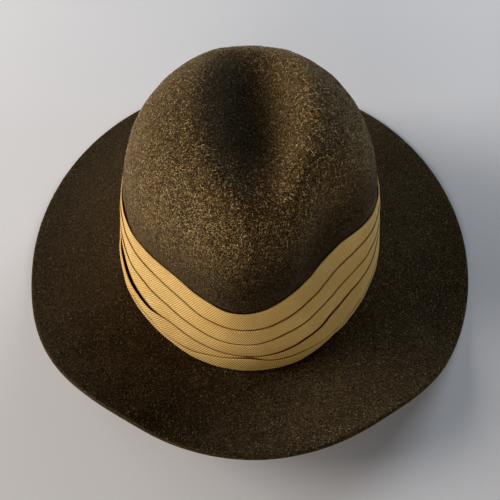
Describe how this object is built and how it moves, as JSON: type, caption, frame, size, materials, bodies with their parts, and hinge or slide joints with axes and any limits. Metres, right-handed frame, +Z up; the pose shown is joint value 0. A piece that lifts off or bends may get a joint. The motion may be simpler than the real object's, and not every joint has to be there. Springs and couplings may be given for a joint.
{
  "type": "fedora",
  "caption": "Felt hat with a dented, front-pinched crown, a wide brim turned up at the front and a pleated cloth band round the crown.",
  "frame": {"origin": "on the surface the hat rests on, under the middle of its box", "axes": "+Z up, the front of the hat towards -Y, +X to the right seen from the front"},
  "size_m": [0.301, 0.3338, 0.1176],
  "materials": {
    "felt": "brushed wool felt, olive brown with lighter and darker fibres",
    "band_cloth": "khaki cotton twill in stacked pleats"
  },
  "bodies": {
    "root": {"felt_body": "felt", "pleated_band": "band_cloth"}
  },
  "joints": []
}
